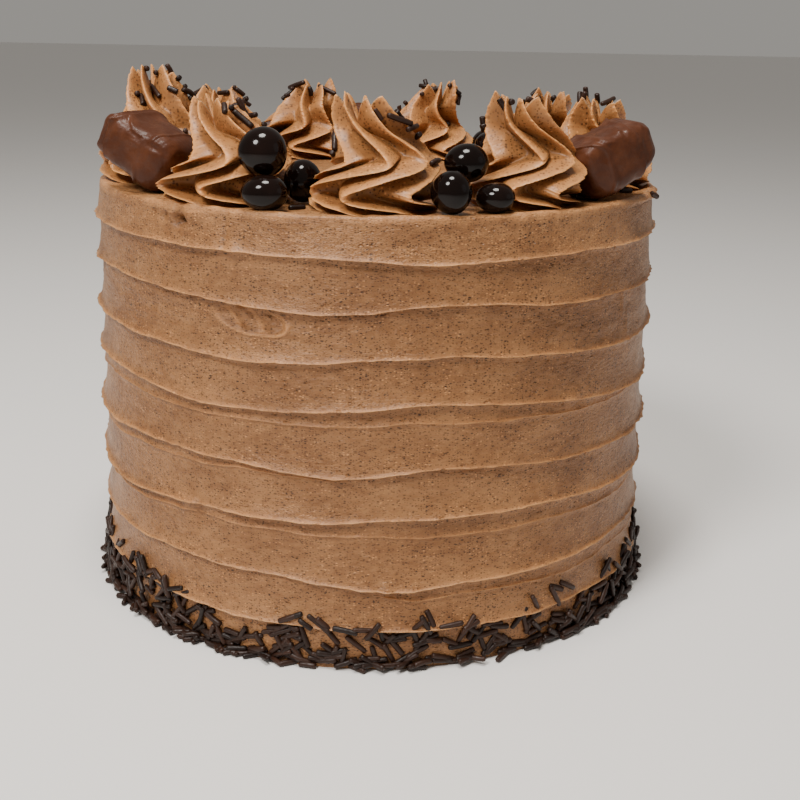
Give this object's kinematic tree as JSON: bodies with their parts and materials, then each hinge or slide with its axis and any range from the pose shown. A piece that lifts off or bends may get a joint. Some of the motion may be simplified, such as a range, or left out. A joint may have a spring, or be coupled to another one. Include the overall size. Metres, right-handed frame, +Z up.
{
  "type": "espresso cake",
  "caption": "Tall round coffee-frosted cake with a ridged side, chocolate sprinkles at its foot and a ring of piped swirls, coffee beans and chocolate pieces on top.",
  "frame": {"origin": "centre of the cake's flat base", "axes": "+Z up along the cake's axis, -Y towards the front seen in the picture, +X to its right"},
  "size_m": [0.2208, 0.2205, 0.1909],
  "materials": {
    "frosting": "soft satin coffee buttercream with fine dark coffee specks",
    "piped_frosting": "satin piped coffee buttercream, a little lighter at its thin edges",
    "coated_bean": "polished near-black dark chocolate",
    "chocolate_bar": "satin milk chocolate",
    "sprinkle": "dark chocolate sprinkles with a dull shine"
  },
  "bodies": {
    "root": {"cake": "frosting", "swirl_1": "piped_frosting", "swirl_2": "piped_frosting", "swirl_3": "piped_frosting", "swirl_4": "piped_frosting", "swirl_5": "piped_frosting", "swirl_6": "piped_frosting", "swirl_7": "piped_frosting", "swirl_8": "piped_frosting", "swirl_9": "piped_frosting", "bean_01": "coated_bean", "bean_02": "coated_bean", "bean_03": "coated_bean", "bean_04": "coated_bean", "bean_05": "coated_bean", "bean_06": "coated_bean", "bean_07": "coated_bean", "bean_08": "coated_bean", "bean_09": "coated_bean", "bean_10": "coated_bean", "bean_11": "coated_bean", "bean_12": "coated_bean", "bean_13": "coated_bean", "bean_14": "coated_bean", "bean_15": "coated_bean", "bean_16": "coated_bean", "bean_17": "coated_bean", "bean_18": "coated_bean", "choc_1": "chocolate_bar", "choc_2": "chocolate_bar", "choc_3": "chocolate_bar"}
  },
  "joints": []
}
